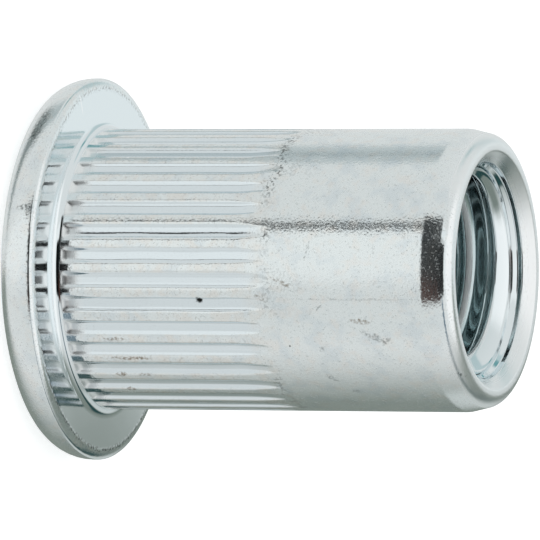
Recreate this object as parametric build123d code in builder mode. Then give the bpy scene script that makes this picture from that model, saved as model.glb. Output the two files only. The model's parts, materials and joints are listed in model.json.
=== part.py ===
from build123d import *
import math
import os

# Rivet nut for an M8 screw: flat round head, round body with pressed splines, open threaded tail.
# One piece of cold formed steel. Millimetres. The origin is the centre of the head's flat outer
# face, and +Z runs along the axis to the tail, so that the nut stands on its head.

# --- thread and hole ------------------------------------------------------------------------------
thread_diameter = 8.0
thread_pitch = 1.25
thread_length = 7.0           # full thread, at the tail
tail_mouth_clearance = 0.25   # countersink at the tail, over the thread's radius
counterbore_clearance = 0.35  # thin walled stretch on the head side, over the thread's radius
counterbore_lead_angle = 45.0
head_mouth_chamfer = 0.3

# --- body -----------------------------------------------------------------------------------------
overall_length = 18.0
thread_wall = 1.5             # wall outside the thread's full diameter
head_fillet = 0.3             # root round between the head and the body
neck_depth = 0.06             # the body is this much smaller in radius right under the head
neck_length = 0.8             # from under the head to where the body has its full radius
plain_length = 6.35           # smooth body between the splines and the tail's cone
tail_taper_length = 1.2       # cone that leads the tail into its hole
tail_taper_angle = 12.0
tail_round = 0.5              # round between that cone and the end face

# --- head -----------------------------------------------------------------------------------------
head_overhang = 2.0           # how far the rim stands out of the body
head_thickness = 1.7
outer_edge_radius = 1.0       # round between the outer face and the rim
seat_edge_width = 0.4         # break between the rim and the face that seats on the sheet: in radius
seat_edge_height = 0.25       # and along the axis

# --- splines: grooves pressed into the body, which leave flat topped lands between them -----------
spline_pitch = 0.96           # land to land, round the body
groove_depth = 0.15
groove_floor_width = 0.3
groove_wall_angle = 45.0      # slope of the groove's side walls
groove_start = 0.35           # where a groove begins, measured from under the head
lead_in_length = 0.55         # first stretch, where the floor curves down from the surface
run_out_length = 1.7          # last stretch, where the floor curves up to the surface
cutter_overlap = 0.1          # how far the groove's cutting shape stands out of the body

# --- worked out -----------------------------------------------------------------------------------
thread_drill_radius = thread_diameter / 2 - thread_pitch * math.sqrt(3) / 2 * 5 / 8
tail_mouth_radius = thread_diameter / 2 + tail_mouth_clearance
tail_mouth_depth = tail_mouth_radius - thread_drill_radius
counterbore_radius = thread_diameter / 2 + counterbore_clearance
lead_depth = (counterbore_radius - thread_drill_radius) / math.tan(math.radians(counterbore_lead_angle))

body_radius = thread_diameter / 2 + thread_wall
neck_radius = body_radius - neck_depth
head_radius = body_radius + head_overhang
tail_end_radius = body_radius - tail_taper_length * math.tan(math.radians(tail_taper_angle))

seat_level = head_thickness
taper_level = overall_length - tail_taper_length
thread_top_level = overall_length - tail_mouth_depth
thread_bottom_level = thread_top_level - thread_length
counterbore_level = thread_bottom_level - lead_depth

groove_count = round(2 * math.pi * body_radius / spline_pitch)
groove_floor = body_radius - groove_depth
straight_start = seat_level + groove_start + lead_in_length
straight_end = taper_level - plain_length - run_out_length


# Half section of head, body and hole, turned once round Z.
with BuildPart() as blank:
    with BuildSketch(Plane.XZ) as half_section:
        with BuildLine():
            Polyline(
                (counterbore_radius + head_mouth_chamfer, 0),
                (head_radius, 0),
                (head_radius, seat_level - seat_edge_height),
                (head_radius - seat_edge_width, seat_level),
                (neck_radius, seat_level),
                (neck_radius, seat_level + groove_start),
                (body_radius, seat_level + neck_length),
                (body_radius, taper_level),
                (tail_end_radius, overall_length),
                (tail_mouth_radius, overall_length),
                (thread_drill_radius, thread_top_level),
                (thread_drill_radius, thread_bottom_level),
                (counterbore_radius, counterbore_level),
                (counterbore_radius, head_mouth_chamfer),
                close=True,
            )
        make_face()
        for corner, corner_radius in (
            ((head_radius, 0), outer_edge_radius),
            ((neck_radius, seat_level), head_fillet),
            ((tail_end_radius, overall_length), tail_round),
        ):
            fillet(half_section.vertices().sort_by_distance(corner)[0], radius=corner_radius)
    revolve(axis=Axis.Z)


# Cutting shape of one groove, on the +X side: a straight stretch with an arc at each end, along
# which the same section rises out of the body.
section_height = groove_depth + cutter_overlap
section_slope = section_height / math.tan(math.radians(groove_wall_angle))


def groove_section(level):
    """Sketch of the groove's section, square to the axis at that level."""
    with BuildSketch(Plane.XY.offset(level)) as section:
        with Locations((groove_floor + section_height / 2, 0)):
            Trapezoid(
                groove_floor_width + 2 * section_slope,
                section_height,
                groove_wall_angle,
                rotation=90,
            )
    return section.sketch


def rising_end(level, length, direction):
    """Carry the section from that level along an arc, up to the surface over that length.

    The direction is 1 towards the tail and -1 towards the head.
    """
    arc_radius = (length**2 + groove_depth**2) / (2 * groove_depth)
    arc_turn = math.degrees(math.acos(1 - section_height / arc_radius))
    hinge = Axis((groove_floor + arc_radius, 0, level), (0, direction, 0))
    revolve(groove_section(level), axis=hinge, revolution_arc=arc_turn)


with BuildPart() as groove:
    extrude(groove_section(straight_start), amount=straight_end - straight_start)
    rising_end(straight_end, run_out_length, 1)
    rising_end(straight_start, lead_in_length, -1)


# The nut: the blank with its ring of grooves, and a land on the +X axis.
with BuildPart() as rivet_nut:
    add(blank.part)
    with PolarLocations(0, groove_count, start_angle=180 / groove_count):
        add(groove.part, mode=Mode.SUBTRACT)


os.makedirs("parts", exist_ok=True)
rivet_nut.part.label = "rivet_nut"
export_step(rivet_nut.part, "parts/rivet_nut.step")
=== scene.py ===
import json
import math

import bpy
import numpy as np
from mathutils import Matrix, Vector


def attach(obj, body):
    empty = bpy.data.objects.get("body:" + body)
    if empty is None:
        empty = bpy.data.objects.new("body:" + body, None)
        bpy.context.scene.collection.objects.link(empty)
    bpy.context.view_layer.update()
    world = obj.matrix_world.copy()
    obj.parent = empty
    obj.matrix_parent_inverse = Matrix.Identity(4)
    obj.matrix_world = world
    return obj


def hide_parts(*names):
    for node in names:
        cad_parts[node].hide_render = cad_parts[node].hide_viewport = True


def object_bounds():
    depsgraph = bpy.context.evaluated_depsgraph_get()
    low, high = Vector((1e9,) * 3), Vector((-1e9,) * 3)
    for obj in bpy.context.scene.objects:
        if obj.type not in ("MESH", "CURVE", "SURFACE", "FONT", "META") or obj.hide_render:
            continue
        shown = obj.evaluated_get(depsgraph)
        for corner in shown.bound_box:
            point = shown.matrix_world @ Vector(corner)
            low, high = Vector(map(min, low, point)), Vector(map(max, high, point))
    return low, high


# A zinc plated rivet nut, standing on its head, seen from beside and a little above.
# Sizes are in millimetres and angles in degrees where nothing else is said; mesh points are turned
# to metres at the end.
# +Z runs from the head to the threaded tail, and -Y is the near side.

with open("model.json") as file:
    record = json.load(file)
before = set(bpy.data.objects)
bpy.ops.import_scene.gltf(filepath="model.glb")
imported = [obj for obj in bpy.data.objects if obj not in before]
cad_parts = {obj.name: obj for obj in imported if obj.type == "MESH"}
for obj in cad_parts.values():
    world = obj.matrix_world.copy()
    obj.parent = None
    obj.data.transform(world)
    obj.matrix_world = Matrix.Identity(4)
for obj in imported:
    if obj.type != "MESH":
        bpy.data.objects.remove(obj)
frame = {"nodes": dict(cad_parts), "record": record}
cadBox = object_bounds()
mounts = {mount["name"]: mount for mount in frame["record"]["mounts"]}
millimetre = 0.001
print("frame loaded:", ", ".join(frame["nodes"]))


def addNode(tree, kind, settings=None, inputs=None, output=0):
    # adds a node, sets it up, feeds its inputs with values or links, and gives back one output
    node = tree.nodes.new("ShaderNode" + kind)
    for name, value in (settings or {}).items():
        setattr(node, name, value)
    for socket, value in (inputs or {}).items():
        if isinstance(value, bpy.types.NodeSocket):
            tree.links.new(value, node.inputs[socket])
        else:
            node.inputs[socket].default_value = value
    return node.outputs[output] if node.outputs else node


def linearColour(hexColour):
    # sRGB hex to linear: ((c + 0.055) / 1.055) ^ 2.4 above 0.04045, c / 12.92 below
    channels = [int(hexColour[i:i + 2], 16) / 255 for i in (0, 2, 4)]
    return [c / 12.92 if c <= 0.04045 else ((c + 0.055) / 1.055) ** 2.4 for c in channels] + [1.0]


nut = {
    "headRadius": -cadBox[0].x / millimetre,
    "length": cadBox[1].z / millimetre,
    "seatLevel": mounts["under_head"]["pos_m"][2] / millimetre,
    "bodyRadius": mounts["shank"]["dims"]["r_mm"],
    "counterboreRadius": mounts["head_bore"]["dims"]["r_mm"],
    "threadMinorRadius": mounts["thread"]["dims"]["r_mm"],
    "headMouthChamfer": 0.3,
    "outerEdge": (1.0, 1.3),     # round between outer face and rim: in radius, along the axis
    "seatEdge": (0.4, 0.25),     # break between rim and seat
    "seatCrown": 0.05,           # how far the seat falls from the body out to its edge
    "seatRing": 0.03,            # flat left between that fall and the break
    "rootRound": 0.3,
    "bendRadius": 1.0,           # where the body turns into the tail's cone
    "tailTaperLength": 1.08,
    "tailTaperAngle": 13.2,
    "tailRound": 0.52,
    "seamWidth": 0.1,            # of the flats where the outer and inner skins are joined

    "threadMajorRadius": 4.0,
    "threadPitch": 1.25,
    "flankAngle": 60,
    "threadStart": 16.89,        # level of a crest's middle on the far side, +Y
    "threadInSight": 14.8,       # down to this level its mesh is finer
    "threadBottom": 10.07,
    "threadReach": (0.7, 0.15),  # how far past its bottom, and how near the end face, it is cut
    "crestRound": 0.12,
    "rootRounding": 0.03,
    "threadBlend": 0.02,         # softens the join between thread and wall
    "mouthRadius": 4.2,          # the tail's mouth, inside its chamfered lip
    "mouthChamfer": 0.42,
    "mouthRound": 0.1,
    # the mouth's wall with its worn steps: radius, level under the end face; below them a cone
    # leads down to the thread's crests, which it meets at the mouth's depth
    "mouthSteps": [(4.19, 0.62), (4.06, 0.8), (4.03, 0.93)],
    "mouthDepth": 1.32,

    "grooveCount": 36,
    "columnsPerGroove": 16,
    "columnCrowding": 0.6,
    "grooveDepth": 0.115,
    "landHalfWidth": 0.14,       # from a land's middle to where its side starts down
    "wallWidth": 0.2,
    "grooveStart": 0.3,          # from under the head
    "leadInLength": 0.3,
    "runOutStart": 8.75,
    "runOutLength": 1.7,
    "grooveBlend": 0.006,        # softens the join between floor and body
    "seed": 7,
    # how uneven the grooves are: where one ends, its share of depth, its width and its place, and
    # two slow waves along it, as height and radians per mm
    "endScatter": 0.17,
    "depthScatter": 0.08,
    "widthScatter": 0.01,
    "placeScatter": 0.012,
    "waves": [(0.014, 1.9), (0.004, 6.1)],
    "wavePhase": 6.0,            # how far apart two grooves' waves may be, in radians

    # grime pushed up at the grooves' ends: its length, and how much there is everywhere, by chance
    # and on the -X side, which is given in radians from the near line: start, width, end
    "crumbLength": 0.2,
    "crumbs": (0.15, 0.35, 0.5),
    "crumbSide": (0.35, 0.3, 1.5),
    # a speckled dark ring of painted shade along the crease at the seat's edge: radius, width, how much
    # all round and on the +X side, which is given as start and width
    "ringRadius": 7.12,
    "ringWidth": 0.07,
    "ringGrime": (0.45, 0.55),
    "ringSide": (0.3, 0.5),
    # how worn rough each place is, where the thread's torn crests are 1
    "lipWear": 0.35,
    "sideWear": 0.4,             # and this much more on the lip, away from the near line
    "mouthWear": 0.9,
    "startWear": 1.0,            # at the grooves' starts
    "edgeWear": 0.35,            # on the head's outer edge
    "lipWearDepth": (0.28, 0.17),    # down from the end face, and more away from the near line
    "mouthWearDepth": 0.45,
    "tornDepth": 0.07,           # from the crests outwards
    # where a value fades in or out: start or end, and width; a level unless its note says otherwise
    "grooveShows": (0.0, 0.03),      # by depth
    "grooveUntil": (10.5, 1.2),
    "landFrom": (2.3, 0.3),
    "landUntil": (10.9, 1.0),
    "startUntil": (2.6, 0.25),
    "pressedMargin": (0.05, 0.08),   # by distance, back from where a land's side starts down
    "tornFrom": (10.0, 1.0),
    "tornUntil": (16.9, 0.2),
    "insideUntil": (17.3, 1.5),
    "awayFrom": (0.35, 0.3),         # by radians from the near line
    "wearFade": 0.1,
    "tornFade": 0.05,
    "edgeFade": 0.3,
    # how bright the metal is, from 0 for satin to 1 for bright
    "gloss": {
        "face": 0.1, "rim": 0.0, "break": 0.3, "seat": 1.0, "neck": 0.6, "body": 0.0,
        "cone": 0.3, "tail": 0.4, "end": 0.5, "lip": 0.6, "thread": 1.0, "lead": 0.8,
        "counterbore": 0.6, "headMouth": 0.4, "groove": 0.8},
}


def straightRows(start, end, count):
    # a straight run from start to end, as (radius, level) pairs at even steps
    t = np.linspace(0.0, 1.0, count)[:, None]
    return np.array(start) + t * (np.array(end) - np.array(start))


def arcRows(centre, radii, fromAngle, toAngle, count):
    # part of an ellipse: centre + (a cos t, b sin t), t running between the two angles
    t = np.radians(np.linspace(fromAngle, toAngle, count))[:, None]
    return np.array(centre) + np.array(radii) * np.hstack([np.cos(t), np.sin(t)])


def joinRows(parts):
    # stack (rows, gloss) parts into one table of radius, level, gloss, without repeated points
    table = np.vstack([np.hstack([rows, np.full((len(rows), 1), gloss)]) for rows, gloss in parts])
    step = np.hypot(*np.diff(table[:, :2], axis=0).T)
    closest = 1e-5
    return table[np.concatenate([[True], step > closest])]


def fadeIn(x, start, width):
    # 0 up to the start and 1 past the width, with 3t^2 - 2t^3 between
    t = np.clip((x - start) / width, 0.0, 1.0)
    return t * t * (3.0 - 2.0 * t)


def fadeOut(x, end, width):
    # 0 past the end and 1 a width before it, in the same way
    return fadeIn(-x, -end, width)


def softMax(a, b, blend):
    # the larger of two surfaces, with a rounded join: (a + b + sqrt((a - b)^2 + blend^2)) / 2
    return 0.5 * (a + b + np.sqrt((a - b) ** 2 + blend ** 2))


def columnAngles():
    # angle of column v within a pitch: v + c sin(4 pi v) / (4 pi), so that columns crowd on the
    # groove walls, a quarter and three quarters of the way from land to land
    v = np.arange(nut["grooveCount"] * nut["columnsPerGroove"]) / nut["columnsPerGroove"]
    crowded = v + nut["columnCrowding"] * np.sin(4 * math.pi * v) / (4 * math.pi)
    return crowded * 2 * math.pi / nut["grooveCount"]


def sideAngles(angles):
    # angle from the near line, + towards -X: atan2(-cos a, -sin a)
    return np.arctan2(-np.cos(angles), -np.sin(angles))[None, :]


def outerProfile():
    # half section from the bore's edge on the head face, round the head and up the body to the
    # end face: radius, level and how bright the metal is
    head, seat, body, top = nut["headRadius"], nut["seatLevel"], nut["bodyRadius"], nut["length"]
    edgeR, edgeZ = nut["outerEdge"]
    breakR, breakZ = nut["seatEdge"]
    crown = nut["seatCrown"]
    root = nut["rootRound"]
    slope = nut["tailTaperAngle"]
    taper = math.radians(slope)
    taperLevel = top - nut["tailTaperLength"]
    tailR = nut["tailRound"]
    tailCentre = (
        body - nut["tailTaperLength"] * math.tan(taper)
        - (tailR - tailR * math.sin(taper)) / math.cos(taper),
        top - tailR,
    )
    tailStart = (tailCentre[0] + tailR * math.cos(taper), tailCentre[1] + tailR * math.sin(taper))
    bendR = nut["bendRadius"]
    bendLevel = taperLevel - bendR * math.tan(taper / 2)
    faceStart = nut["counterboreRadius"] + nut["headMouthChamfer"] + nut["seamWidth"]
    faceEnd = nut["mouthRadius"] + nut["mouthChamfer"] + nut["seamWidth"]
    margin = 0.1  # the finer rows reach this far past where the grooves rise
    grooveTop = seat + nut["grooveStart"] + nut["leadInLength"] + margin / 2
    runOut = nut["runOutStart"] - margin
    runOutEnd = nut["runOutStart"] + nut["runOutLength"] + nut["endScatter"] + margin
    across = np.linspace(1.0, 0.0, 13)[:, None]
    seatWidth = head - breakR - nut["seatRing"] - (body + root)
    seatRows = np.hstack([body + root + across * seatWidth, seat - crown * across])
    gloss = nut["gloss"]
    return joinRows([
        (straightRows((faceStart, 0), (head - edgeR, 0), 4), gloss["face"]),
        (arcRows((head - edgeR, edgeZ), (edgeR, edgeZ), -90, 0, 11), gloss["rim"]),
        (straightRows((head, edgeZ), (head, seat - breakZ), 2), gloss["rim"]),
        (arcRows((head - breakR, seat - breakZ), (breakR, breakZ - crown), 0, 84, 8), gloss["break"]),
        (seatRows, gloss["seat"]),
        (arcRows((body + root, seat + root), (root, root), -90, -180, 11), gloss["seat"]),
        (straightRows((body, seat + root), (body, grooveTop), 15), gloss["neck"]),
        (straightRows((body, grooveTop), (body, runOut), 12), gloss["body"]),
        (straightRows((body, runOut), (body, runOutEnd), 22), gloss["body"]),
        (straightRows((body, runOutEnd), (body, bendLevel), 4), gloss["body"]),
        (arcRows((body - bendR, bendLevel), (bendR, bendR), 0, slope, 4), gloss["body"]),
        (straightRows(tailStart, tailStart, 1), gloss["cone"]),
        (arcRows(tailCentre, (tailR, tailR), slope, 90, 12), gloss["tail"]),
        (straightRows((tailCentre[0], top), (faceEnd, top), 3), gloss["end"]),
    ])


def risingFloor(along, length):
    # height of a floor that leaves its level along an arc, R - sqrt(R^2 - z^2), and reaches the
    # surface after that length
    arc = (length ** 2 + nut["grooveDepth"] ** 2) / (2 * nut["grooveDepth"])
    along = np.clip(along, 0, arc)
    return arc - np.sqrt(arc ** 2 - along ** 2)


def grooveDepths(angles, levels):
    # depth cut at each column and level: a flat floor with sloping walls, that fades in at the
    # head's end, less the rise of the floor at the tail's end, and never under nothing. Also the
    # grime at each groove's end, exp(-(z / length)^2) times a strength that is most on the -X side,
    # and how far a point is within a groove's width, from 0 to 1.
    rng = np.random.default_rng(nut["seed"])
    count = nut["grooveCount"]
    pitch = 2 * math.pi / count
    pitchLength = pitch * nut["bodyRadius"]
    turn = (angles / pitch)[None, :]
    groove = np.floor(turn).astype(int) % count
    scatter = rng.uniform(-1, 1, (8, count))
    endShift, deeper, phase, sway, crumbs, wider, place, finePhase = scatter[:, groove]
    level = levels[:, None]
    (height, waveTurn), (fineHeight, fineTurn) = nut["waves"]
    wander = height * np.sin(level * waveTurn + nut["wavePhase"] * phase) * sway
    wander = wander + fineHeight * np.sin(level * fineTurn + nut["wavePhase"] * finePhase)
    offset = (turn - np.floor(turn) - 0.5) * pitchLength - wander - nut["placeScatter"] * place
    fromLand = 0.5 * pitchLength - np.abs(offset)
    depth = nut["grooveDepth"] * (1 + nut["depthScatter"] * deeper)
    widened = fromLand + nut["widthScatter"] * wider
    wall = depth * fadeIn(widened, nut["landHalfWidth"], nut["wallWidth"])
    runOut = nut["runOutStart"] + nut["endScatter"] * endShift
    leadIn = nut["seatLevel"] + nut["grooveStart"] + nut["leadInLength"]
    rise = risingFloor(level - runOut, nut["runOutLength"])
    blunt = risingFloor(leadIn - level, nut["leadInLength"])
    faded = wall * np.clip(1 - blunt / nut["grooveDepth"], 0, 1)
    blend = nut["grooveBlend"]
    cut = np.maximum(softMax(faded - rise, 0.0, blend) - blend / 2, 0.0)

    side = sideAngles(angles)
    sideStart, sideWidth, sideEnd = nut["crumbSide"]
    even, uneven, onSide = nut["crumbs"]
    strength = even + uneven * crumbs + onSide * fadeIn(side, sideStart, sideWidth) * (side < sideEnd)
    grime = strength * np.exp(-((level - runOut - nut["runOutLength"]) / nut["crumbLength"]) ** 2)
    margin, marginWidth = nut["pressedMargin"]
    pressed = fadeIn(fromLand, nut["landHalfWidth"] - margin, marginWidth) + 0 * level
    return cut, grime, pressed


def innerProfile():
    # levels and their plain radius from the tail's mouth down the hole to the head face, with how
    # bright the metal is. The lip is a 45 degree chamfer between two arcs, whose centres lie
    # r tan(22.5) from its corners.
    top, minor, mouth = nut["length"], nut["threadMinorRadius"], nut["mouthRadius"]
    lip, rounding = nut["mouthChamfer"], nut["mouthRound"]
    tangent = rounding * math.tan(math.radians(22.5))
    outerCentre = (mouth + lip + tangent, top - rounding)
    innerCentre = (mouth + rounding, top - lip - tangent)
    steps = nut["mouthSteps"] + [(minor, nut["mouthDepth"])]
    steps = [(mouth, innerCentre[1])] + [(r, top - depth) for r, depth in steps]
    sight, bottom = nut["threadInSight"], nut["threadBottom"]
    wide, chamfer = nut["counterboreRadius"], nut["headMouthChamfer"]
    leadEnd = bottom - (wide - minor)
    gloss = nut["gloss"]
    return joinRows([
        (arcRows(outerCentre, (rounding, rounding), 90, 135, 4), gloss["end"]),
        (arcRows(innerCentre, (rounding, rounding), 135, 180, 5), gloss["lip"]),
        *((straightRows(start, end, 6), gloss["thread"]) for start, end in zip(steps, steps[1:])),
        (straightRows(steps[-1], (minor, sight), 60), gloss["thread"]),
        (straightRows((minor, sight), (minor, bottom), 46), gloss["thread"]),
        (straightRows((minor, bottom), (wide, leadEnd), 8), gloss["lead"]),
        (straightRows((wide, leadEnd), (wide, chamfer), 5), gloss["counterbore"]),
        (straightRows((wide, chamfer), (wide + chamfer, 0), 3), gloss["headMouth"]),
    ])


def threadRadii(angles, levels):
    # radius of a right hand internal thread: t is the axial distance from the nearest crest's
    # middle, and the radius climbs from crest to root as t tan(flank angle) between the two flats
    pitch, minor, major = nut["threadPitch"], nut["threadMinorRadius"], nut["threadMajorRadius"]
    crest = nut["threadStart"] + pitch * (angles - math.pi / 2) / (2 * math.pi)
    turn = (levels[:, None] - crest[None, :]) / pitch
    t = np.abs(turn - np.round(turn)) * pitch
    flank = minor + (t - pitch / 8) * math.tan(math.radians(nut["flankAngle"]))
    return -softMax(-softMax(flank, minor, nut["crestRound"]), -major, nut["rootRounding"])


def gridFaces(rows, columns, first):
    # quads of a closed ring of columns between neighbouring rows
    row, column = np.meshgrid(np.arange(rows - 1), np.arange(columns), indexing="ij")
    right = (column + 1) % columns
    corners = (row * columns + column, row * columns + right,
               (row + 1) * columns + right, (row + 1) * columns + column)
    return first + np.stack([c.ravel() for c in corners], axis=1)


def stitchFaces(fineStart, coarseStart, fineCount, fineFirst):
    # joins a ring to one with a third as many points: a triangle, a quad, a triangle
    k = np.arange(fineCount // 3)
    f0, f1, f2, f3 = [fineStart + (3 * k + i) % fineCount for i in range(4)]
    c0, c1 = coarseStart + k, coarseStart + (k + 1) % (fineCount // 3)
    if fineFirst:
        corners = (f1, f2, c1, c0), (f0, f1, c0), (f2, f3, c1)
    else:
        corners = (c0, c1, f2, f1), (c0, f1, f0), (c1, f3, f2)
    quads, firstTriangles, lastTriangles = (np.stack(c, axis=1) for c in corners)
    return quads, np.vstack([firstTriangles, lastTriangles])


def ringPoints(radii, angles, levels):
    # (r cos a, r sin a, z) for every row and column
    shape = np.broadcast(radii, angles[None, :], levels[:, None]).shape
    x, y = radii * np.cos(angles)[None, :], radii * np.sin(angles)[None, :]
    return np.stack([np.broadcast_to(c, shape).ravel() for c in (x, y, levels[:, None])], axis=1)


def outerSkin(angles):
    # the outer profile turned round the axis, less the grooves, with six values at each point: how bright
    # it is, how much it is land, grime and painted shade, groove and worn rough, and how far inside it lies
    radius, level, gloss = outerProfile().T
    slack = 0.01
    onBody = (level > nut["seatLevel"] + nut["rootRound"] - slack) & (radius > nut["bodyRadius"] - slack)
    depth, grime, pressed = grooveDepths(angles, level)
    depth = depth * onBody[:, None]
    inGroove = fadeIn(depth, *nut["grooveShows"]) * fadeOut(level, *nut["grooveUntil"])[:, None]
    along = fadeIn(level, *nut["landFrom"]) * fadeOut(level, *nut["landUntil"]) * onBody

    side = sideAngles(angles)
    edgeLevel = nut["outerEdge"][1]
    # painted shade: a speckled dark ring along the crease at the seat's edge, heavier on the +X side, added
    # to the grime at the grooves' ends
    onEdge = np.exp(-((radius - nut["ringRadius"]) / nut["ringWidth"]) ** 2) * (level > edgeLevel)
    allRound, onSide = nut["ringGrime"]
    ring = onEdge[:, None] * (allRound + onSide * fadeIn(-side, *nut["ringSide"]))

    away = fadeIn(np.abs(side), *nut["awayFrom"])
    lipDepth, moreAway = nut["lipWearDepth"]
    lip = fadeIn(level[:, None], nut["length"] - lipDepth - moreAway * away, nut["wearFade"])
    worn = (nut["lipWear"] + nut["sideWear"] * away) * lip
    worn = np.maximum(worn, nut["edgeWear"] * fadeOut(level, edgeLevel, nut["edgeFade"])[:, None])
    starts = (onBody * fadeOut(level, *nut["startUntil"]))[:, None]
    worn = np.maximum(worn, nut["startWear"] * pressed * starts)

    return ringPoints(radius[:, None] - depth, angles, level), {
        "gloss": np.maximum(gloss[:, None] + 0 * depth, nut["gloss"]["groove"] * inGroove),
        "land": (1 - inGroove) * along[:, None],
        "grime": np.clip(grime * onBody[:, None] + ring, 0, 1),
        "groove": inGroove,
        "worn": worn,
        "inside": 0 * depth,
    }


def innerSkin(angles):
    # the inner profile turned round the axis, cut by the thread, with the same values
    radius, level, gloss = innerProfile().T
    plain = radius[:, None] + 0 * angles[None, :]
    past, short = nut["threadReach"]
    inThread = (level > nut["threadBottom"] - past) & (level < nut["length"] - short)
    cut = softMax(plain, threadRadii(angles, level), nut["threadBlend"])
    radii = np.where(inThread[:, None], cut, plain)
    onThread = (fadeIn(level, *nut["tornFrom"]) * fadeOut(level, *nut["tornUntil"]))[:, None]
    torn = fadeOut(radii, nut["threadMinorRadius"] + nut["tornDepth"], nut["tornFade"]) * onThread
    mouth = fadeIn(level, nut["length"] - nut["mouthWearDepth"], nut["wearFade"])[:, None]
    return ringPoints(radii, angles, level), {
        "gloss": gloss[:, None] + 0 * plain,
        "land": 0 * plain,
        "grime": 0 * plain,
        "groove": 0 * plain,
        "worn": np.maximum(torn, nut["mouthWear"] * mouth),
        # where this is 1 the colour gets painted shade: deep in the hole, fading out towards the mouth
        "inside": fadeOut(level, *nut["insideUntil"])[:, None] + 0 * plain,
    }


def buildNut():
    # the outer skin, the inner one with every third column, and the seams that join them at the
    # tail's mouth and at the head's
    angles = columnAngles()
    outerPoints, outerValues = outerSkin(angles)
    innerPoints, innerValues = innerSkin(angles[::3])
    fine, few = len(angles), len(angles) // 3
    outerCount, innerCount = len(outerPoints), len(innerPoints)
    tailQuads, tailTriangles = stitchFaces(outerCount - fine, outerCount, fine, True)
    headQuads, headTriangles = stitchFaces(0, outerCount + innerCount - few, fine, False)
    outerFaces = gridFaces(outerCount // fine, fine, 0)
    innerFaces = gridFaces(innerCount // few, few, outerCount)
    quads = np.vstack([outerFaces, innerFaces, tailQuads, headQuads])
    triangles = np.vstack([tailTriangles, headTriangles])

    mesh = bpy.data.meshes.new("rivetNut")
    points = np.vstack([outerPoints, innerPoints]) * millimetre
    mesh.from_pydata(points.tolist(), [], quads.tolist() + triangles.tolist())
    mesh.polygons.foreach_set("use_smooth", np.ones(len(mesh.polygons), dtype=bool))
    for name in outerValues:
        values = np.concatenate([outerValues[name].ravel(), innerValues[name].ravel()])
        mesh.attributes.new(name, "FLOAT", "POINT").data.foreach_set("value", values.astype(np.float32))
    mesh.update()
    piece = bpy.data.objects.new("rivetNut", mesh)
    bpy.context.scene.collection.objects.link(piece)
    print("nut:", len(points), "points,", 2 * len(quads) + len(triangles), "triangles")
    return piece


plate = {
    "satin": "ECF1F1",           # rubbed zinc: lands, plain body, rim
    "bright": "F0F6F8",          # untouched pale blue passivate in grooves, root and thread
    "satinRoughness": 0.095,
    "brightRoughness": 0.08,
    "chalk": 0.06,               # how much of the rubbed metal scatters light like chalk
    "chalkSpeck": 0.36,          # and how much more its specks do
    "tornChalk": 0.9,            # how much the thread's torn crests scatter light
    "wornRoughness": 0.35,
    "rippleHeight": 0.0016,      # mm, and so is the grain's
    "grainHeight": 0.006,
    "speckBand": (0.6, 0.68),    # the grain's values where a speck starts and is whole
    "markJitter": 0.15,          # mm, how ragged a mark's edge is
    "markEdge": (1.1, 0.6),      # where a mark starts and is whole, as a share of its half size
    "markReach": 0.5,            # mm, its half size in depth
    "markBreaks": (0.38, 0.66),  # the crumb's values that break up stains and scuffs
    # name and size in mm of each noise pattern, and how many finer ones it carries
    "patterns": {
        "ripple": (1.3, 1), "grain": (0.09, 2), "cloud": (0.8, 3), "drift": (0.45, 4), "crumb": (0.11, 2)},
    # tints laid over one another: colour, where, pattern, its values from nothing to full, amount
    "layers": [
        ("D9E2E7", "satin", "cloud", (0.5, 0.64), 0.5),
        ("EFEAE4", "satin", "drift", (0.52, 0.66), 0.45),
        ("B4BBBA", "satin", "grain", (0.56, 0.74), 0.28),
        ("E6EEF2", "groove", "ripple", (0.0, 0.1), 0.7),
        ("EAE8E3", "land", "drift", (0.4, 0.6), 0.5),
        ("8A7E6E", "land", "crumb", (0.6, 0.7), 0.22),
        # painted shade: deep in the hole the metal is tinted darker and more teal, fading out towards the
        # mouth
        ("C4D4D6", "inside", "ripple", (0.0, 0.1), 1.0),
        ("F6F8F8", "worn", "ripple", (0.0, 0.1), 1.0),
        # dark specks: grime at the grooves' ends, and painted shade in the ring along the seat's edge
        ("2C3233", "grime", "crumb", (0.5, 0.58), 1.0),
    ],
}

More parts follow.
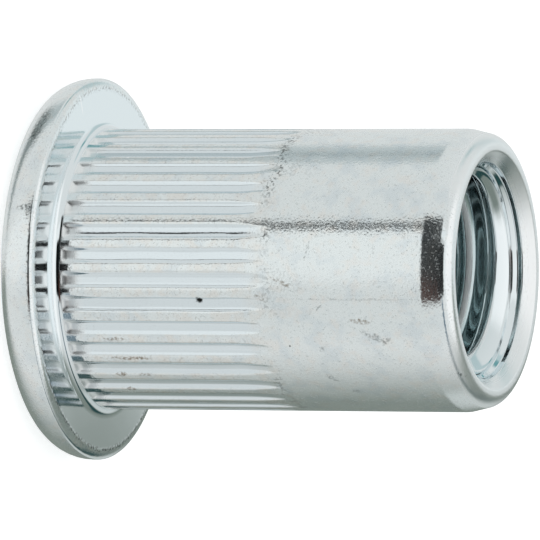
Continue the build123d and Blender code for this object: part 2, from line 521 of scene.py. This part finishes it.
# Marks left by handling: kind, side angle in degrees from the near line towards -X, level, radius,
# half length along the axis, half width, turn and strength.
marks = [
    ("pit", -13.1, 7.72, 5.4, 0.16, 0.13, 0, 1.0),
    ("stain", -21.8, 14.3, 5.5, 0.44, 0.12, -6, 0.9),
    ("scuff", -28.5, 14.75, 5.5, 0.60, 0.16, -28, 0.6),
    ("scuff", -30.5, 15.25, 5.5, 0.30, 0.10, 40, 0.6),
    ("stain", -6.2, 11.25, 5.5, 0.55, 0.09, -22, 0.7),
    ("stain", -12.2, 10.3, 5.5, 0.32, 0.12, -20, 0.5),
    ("pit", -33.0, 11.25, 5.5, 0.035, 0.035, 0, 0.9),
    ("scuff", -16.0, 12.65, 5.5, 0.2, 0.04, 45, 0.8),
    ("scuff", 7.0, 12.2, 5.5, 0.42, 0.05, 75, 0.55),
    ("stain", -30.3, 4.0, 5.5, 0.49, 0.08, 0, 0.8),
    ("stain", -39.6, 4.5, 5.5, 0.92, 0.11, 0, 0.85),
    ("stain", -48.8, 3.85, 5.5, 0.24, 0.12, 0, 0.9),
    ("stain", -48.8, 4.85, 5.5, 0.33, 0.09, 0, 0.7),
    ("stain", -58.6, 4.0, 5.5, 0.25, 0.09, 0, 0.8),
    ("scuff", -34.5, 12.5, 5.5, 0.14, 0.12, 20, 0.5),
    ("scuff", -50.0, 12.6, 5.5, 0.32, 0.14, -40, 0.6),
    ("scuff", -58.8, 13.3, 5.5, 0.20, 0.12, 0, 0.6),
    ("scuff", -12.6, 14.0, 5.5, 2.4, 0.05, 0, 0.35),
    ("scuff", -50.5, 17.8, 5.2, 0.05, 0.30, 25, 0.8),
    ("scuff", 47.8, 0.85, 7.45, 0.32, 1.3, 0, 0.75),
    ("scuff", 17.9, 1.15, 7.5, 0.35, 0.14, 0, 0.9),
    ("scratch", 50.7, 11.95, 5.5, 0.42, 0.022, 26, 1.0),
    ("scratch", 51.4, 14.4, 5.5, 0.26, 0.022, 26, 1.0),
    ("scratch", 68.0, 1.7, 6.95, 0.22, 0.05, 0, 1.0),
    ("scratch", 51.6, 3.95, 5.4, 0.07, 0.04, 0, 1.0),
]
markColours = {"pit": "1D1F1E", "stain": "7E6B54", "scuff": "6C7271", "scratch": "FFFFFF"}


def makeZincPlate():
    # Bright zinc electroplate on cold formed steel with a pale blue passivate. Where a tool or
    # another nut has rubbed it the metal is satin, finely speckled and a little grimy; pressed and
    # hidden places keep a clean, bluish mirror. Deep in the hole the colour is darkened towards teal,
    # a painted shade, and a speckled dark ring of painted shade runs along the seat's edge. The grain
    # is drawn coarser than the real one.
    material = bpy.data.materials.new("zincPlatedSteel")
    material.use_nodes = True
    tree = material.node_tree
    tree.nodes.clear()
    place = addNode(tree, "TexCoord", output="Object")
    inMm = addNode(tree, "VectorMath", {"operation": "SCALE"}, {0: place, "Scale": 1 / millimetre})
    where = {
        name: addNode(tree, "Attribute", {"attribute_name": name}, output="Fac")
        for name in ("gloss", "land", "grime", "groove", "worn", "inside")
    }
    where["satin"] = addNode(tree, "Math", {"operation": "SUBTRACT"}, {0: 1.0, 1: where["gloss"]})
    patterns = {
        name: addNode(tree, "TexNoise", None, {"Vector": inMm, "Scale": 1 / size, "Detail": detail}, "Fac")
        for name, (size, detail) in plate["patterns"].items()
    }

    colour = addNode(tree, "Mix", {"data_type": "RGBA"}, {
        0: where["gloss"], 6: linearColour(plate["satin"]), 7: linearColour(plate["bright"])}, 2)
    for tint, zone, pattern, (low, high), amount in plate["layers"]:
        mask = addNode(tree, "MapRange", None, {
            "Value": patterns[pattern], "From Min": low, "From Max": high, "To Max": amount})
        mask = addNode(tree, "Math", {"operation": "MULTIPLY"}, {0: mask, 1: where[zone]})
        colour = addNode(tree, "Mix", {"data_type": "RGBA"}, {0: mask, 6: colour, 7: linearColour(tint)}, 2)

    low, high = plate["markBreaks"]
    broken = addNode(tree, "MapRange", None, {
        "Value": patterns["crumb"], "From Min": low, "From Max": high})
    edge, whole = plate["markEdge"]
    ragged = addNode(tree, "VectorMath", {"operation": "MULTIPLY_ADD"}, {
        0: patterns["crumb"].node.outputs["Color"], 1: [plate["markJitter"]] * 3, 2: inMm})
    for kind, side, level, radius, halfLength, halfWidth, turn, strength in marks:
        outward = Vector((-math.sin(math.radians(side)), -math.cos(math.radians(side)), 0))
        upward = Vector((0, 0, 1))
        axes = Matrix((upward, outward.cross(upward), outward)).transposed()
        turned = (axes @ Matrix.Rotation(math.radians(turn), 3, "Z")).to_euler()
        spot = outward * radius + upward * level + Vector([plate["markJitter"] / 2] * 3)
        size = (halfLength, halfWidth, plate["markReach"])
        local = addNode(tree, "Mapping", {"vector_type": "TEXTURE"}, {
            "Vector": ragged, "Location": spot, "Rotation": turned, "Scale": size})
        away = addNode(tree, "VectorMath", {"operation": "LENGTH"}, {0: local}, "Value")
        mask = addNode(tree, "MapRange", None, {
            "Value": away, "From Min": edge, "From Max": whole, "To Max": strength})
        if kind in ("stain", "scuff"):
            mask = addNode(tree, "Math", {"operation": "MULTIPLY"}, {0: mask, 1: broken})
        colour = addNode(tree, "Mix", {"data_type": "RGBA"}, {
            0: mask, 6: colour, 7: linearColour(markColours[kind])}, 2)

    low, high = plate["speckBand"]
    speck = addNode(tree, "MapRange", None, {
        "Value": patterns["grain"], "From Min": low, "From Max": high,
        "To Min": plate["chalk"], "To Max": plate["chalk"] + plate["chalkSpeck"]})
    chalk = addNode(tree, "Math", {"operation": "MULTIPLY"}, {0: speck, 1: where["satin"]})
    torn = addNode(tree, "Math", {"operation": "MULTIPLY"}, {0: where["worn"], 1: where["inside"]})
    chalk = addNode(tree, "Math", {"operation": "MULTIPLY_ADD"}, {0: torn, 1: plate["tornChalk"], 2: chalk})
    metal = addNode(tree, "Math", {"operation": "SUBTRACT"}, {0: 1.0, 1: chalk})
    rough = addNode(tree, "MapRange", None, {
        "Value": where["gloss"], "To Min": plate["satinRoughness"], "To Max": plate["brightRoughness"]})
    rough = addNode(tree, "Mix", None, {0: where["worn"], 2: rough, 3: plate["wornRoughness"]})
    waved = addNode(tree, "Bump", None, {
        "Distance": plate["rippleHeight"] * millimetre, "Height": patterns["ripple"]})
    grained = addNode(tree, "Bump", None, {
        "Strength": where["satin"], "Distance": plate["grainHeight"] * millimetre,
        "Height": patterns["grain"], "Normal": waved})
    shader = addNode(tree, "BsdfPrincipled", None, {
        "Base Color": colour, "Metallic": metal, "Roughness": rough, "Normal": grained})
    addNode(tree, "OutputMaterial", None, {"Surface": shader})
    print("zinc plate:", len(tree.nodes), "nodes")
    return material


nutPiece = buildNut()
nutPiece.data.materials.append(makeZincPlate())
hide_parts("rivet_nut")
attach(nutPiece, "root")


studio = {
    "floorSize": 3.0,            # m
    "floorColour": "F4F5F5",
    "floorGlow": 0.55,           # lets the pale floor read as white to the camera
    "floorDrop": 0.01,           # mm, how far it lies under the head
    # painted shadow: the floor under the hole is made near black, where the nut shades it
    "shadeColour": "0C0F10",     # the floor inside the hole, where no light comes
    "shadeLift": 0.004,          # mm, over the floor
    "shadeStep": 6,              # degrees between the points of its edge
    "surround": "F0F3F3",
    # parts of the tent that are less than white: name, azimuth from and to (0 is the camera's side,
    # + towards -X), elevation from and to, softness of those two ends and of both heights, colour
    "panels": [
        ("leftWall", 38, 180, -90, 60, 3, 1, 6, "DFE2E2"),
        ("leftGap", 97.5, 121, -75, -13, 1.2, 3, 5, "BBC4C6"),
        ("leftJoin", 107.4, 109.6, -50, -13, 0.4, 0.4, 5, "7F8B8D"),
        ("leftFoot", 98, 124, -80, -30, 8, 8, 6, "697574"),
        ("rightCard", -120, -20, -90, 50, 10, 22, 8, "E3E5E5"),
        ("rightFold", -58, -12, -90, 10, 10, 9, 8, "DDE0E0"),
        ("rightWall", -179.5, -101.5, -90, 60, 3, 41.5, 8, "7E8781"),
        ("rightGap", -168, -115, -13, 13, 6, 8, 4, "C6CCCB"),
        ("backCard", 160, 181, 5, 60, 6, 1, 5, "E6ECED"),
        ("ceiling", -181, 181, 58, 95, 1, 1, 8, "FFFFFF"),
        ("tentSeam", 32.8, 38.2, -29, -12, 1.0, 1.0, 3, "0E1112"),
        ("cameraFoot", -25, 42, -11, 12, 1.5, 1.5, 5, "1C1F20"),
        ("cameraStand", -27, -8, -11, 12, 3, 10, 6, "3F2721"),
        ("camera", -23, 23, 8, 40, 2, 2, 2, "0B0D0E"),
        ("rightDesk", -95, -26, 16, 26, 10, 2, 1.5, "6F808C"),
        ("rightRoom", -168, -74, 16, 26, 8, 24, 1.5, "2A4646"),
        ("leftRoom", 98, 168, 16, 26, 6, 6, 1.5, "BACBCD"),
        ("leftDoor", 117, 127, 16, 26, 3, 3, 1.5, "6F9FA3"),
    ],
}


def makeFloor():
    # a pale matt board under the nut, with only enough glow for the camera to make it white, and
    # a near black disc under the hole that shows through it, a painted shadow of the nut on the floor
    half = studio["floorSize"] / 2
    shade = nut["counterboreRadius"] * millimetre
    turns = np.radians(np.arange(0, 360, studio["shadeStep"]))
    ring = [(shade * math.cos(t), shade * math.sin(t), 0) for t in turns]
    square = [(-half, -half, 0), (half, -half, 0), (half, half, 0), (-half, half, 0)]
    for name, points, lift in (("studioFloor", square, 0.0), ("holeShade", ring, studio["shadeLift"])):
        mesh = bpy.data.meshes.new(name)
        mesh.from_pydata(points, [], [list(range(len(points)))])
        board = bpy.data.objects.new(name, mesh)
        board.location.z = cadBox[0].z + (lift - studio["floorDrop"]) * millimetre
        board.visible_shadow = False
        board.visible_glossy = name == "holeShade"
        bpy.context.scene.collection.objects.link(board)
        mesh.materials.append(makeBoard(name))
    print("floor made")


def makeBoard(name):
    # painted card, matt and even; the hole's card is near black, a painted shadow
    material = bpy.data.materials.new(name + "Card")
    material.use_nodes = True
    tree = material.node_tree
    tree.nodes.clear()
    pale = name == "studioFloor"
    card = linearColour(studio["floorColour"] if pale else studio["shadeColour"])
    surface = addNode(tree, "BsdfDiffuse", None, {"Color": card})
    if pale:
        seen = addNode(tree, "LightPath", output="Is Camera Ray")
        through = seen.node.outputs["Is Transmission Ray"]
        seen = addNode(tree, "Math", {"operation": "MAXIMUM"}, {0: seen, 1: through})
        glow = addNode(tree, "Math", {"operation": "MULTIPLY"}, {0: seen, 1: studio["floorGlow"]})
        white = addNode(tree, "Emission", None, {"Strength": glow})
        surface = addNode(tree, "AddShader", None, {0: surface, 1: white})
    addNode(tree, "OutputMaterial", None, {"Surface": surface})
    return material


def makeStudio():
    # A white tent all round, with its seams, its dimmer side and the gap for the camera. Soft light
    # and reflections come from it; the camera itself sees plain white past the floor. Azimuth is
    # atan2(-x, -y) and depression asin(-z) of the direction looked in.
    world = bpy.data.worlds.new("softTent")
    bpy.context.scene.world = world
    world.use_nodes = True
    tree = world.node_tree
    tree.nodes.clear()
    direction = addNode(tree, "TexCoord", output="Generated")
    towards = addNode(tree, "VectorMath", {"operation": "SCALE"}, {0: direction, "Scale": -1.0})
    axes = addNode(tree, "SeparateXYZ", None, {0: towards}).node.outputs
    turn = addNode(tree, "Math", {"operation": "ARCTAN2"}, {0: axes[0], 1: axes[1]})
    azimuth = addNode(tree, "Math", {"operation": "DEGREES"}, {0: turn})
    drop = addNode(tree, "Math", {"operation": "ARCSINE"}, {0: axes[2]})
    depression = addNode(tree, "Math", {"operation": "DEGREES"}, {0: drop})
    colour = linearColour(studio["surround"])
    for _, left, right, low, high, leftSoft, rightSoft, softness, tint in studio["panels"]:
        middle, half = (left + right) / 2, (right - left) / 2
        across = addNode(tree, "Math", {"operation": "SUBTRACT"}, {0: azimuth, 1: middle})
        across = addNode(tree, "Math", {"operation": "WRAP"}, {0: across, 1: 180.0, 2: -180.0})
        mask = 1.0
        for value, edge, soft in (
            (across, -half, leftSoft), (across, half, -rightSoft),
            (depression, -high, softness), (depression, -low, -softness),
        ):
            side = addNode(tree, "MapRange", {"interpolation_type": "SMOOTHSTEP"}, {
                "Value": value, "From Min": edge - soft, "From Max": edge + soft})
            mask = addNode(tree, "Math", {"operation": "MULTIPLY"}, {0: side, 1: mask})
        colour = addNode(tree, "Mix", {"data_type": "RGBA"}, {0: mask, 6: colour, 7: linearColour(tint)}, 2)
    seen = addNode(tree, "LightPath", output="Is Camera Ray")
    colour = addNode(tree, "Mix", {"data_type": "RGBA"}, {0: seen, 6: colour, 7: (1, 1, 1, 1)}, 2)
    tent = addNode(tree, "Background", None, {"Color": colour})
    addNode(tree, "OutputWorld", None, {"Surface": tent})
    print("studio made with", len(studio["panels"]), "panels")


makeFloor()
makeStudio()


cameraView = {
    "lens": 661.3,               # mm, and so is the sensor
    "sensor": 36.0,
    "distance": 387.0,           # to the point on the axis below
    "level": 9.7,                # that point's height
    "azimuth": 0.6,              # towards +X from the near side
    "elevation": 20.92,
    "roll": 0.22,                # the tail dips by this much
    "aim": (-1.02, -0.01),       # how far the view's middle lies from that point: along it, across it
    "clipStart": 0.01,           # m
}


def makeCamera():
    # The view's right is the nut's +Z, so the camera lies on its side. It stands at
    # distance x (sin a cos e, -cos a cos e, sin e) from the point on the axis.
    a, e, roll = (math.radians(cameraView[name]) for name in ("azimuth", "elevation", "roll"))
    back = Vector((math.sin(a) * math.cos(e), -math.cos(a) * math.cos(e), math.sin(e)))
    along = Vector((-math.sin(a) * math.sin(e), math.cos(a) * math.sin(e), math.cos(e)))
    across = back.cross(along)
    right = along * math.cos(roll) + across * math.sin(roll)
    up = back.cross(right)
    point = Vector((0, 0, cameraView["level"] * millimetre))
    place = point + back * cameraView["distance"] * millimetre
    aimRight, aimUp = cameraView["aim"]
    target = point + (right * aimRight + up * aimUp) * millimetre
    facing = (place - target).normalized()
    right = (right - facing * right.dot(facing)).normalized()
    up = facing.cross(right)
    data = bpy.data.cameras.new("studioCamera")
    data.lens = cameraView["lens"]
    data.sensor_width = cameraView["sensor"]
    data.clip_start = cameraView["clipStart"]
    camera = bpy.data.objects.new("studioCamera", data)
    camera.matrix_world = Matrix((
        (right.x, up.x, facing.x, place.x),
        (right.y, up.y, facing.y, place.y),
        (right.z, up.z, facing.z, place.z),
        (0, 0, 0, 1),
    ))
    bpy.context.scene.collection.objects.link(camera)
    bpy.context.scene.camera = camera
    print("camera placed")


makeCamera()
bpy.context.scene.view_settings.view_transform = "Standard"
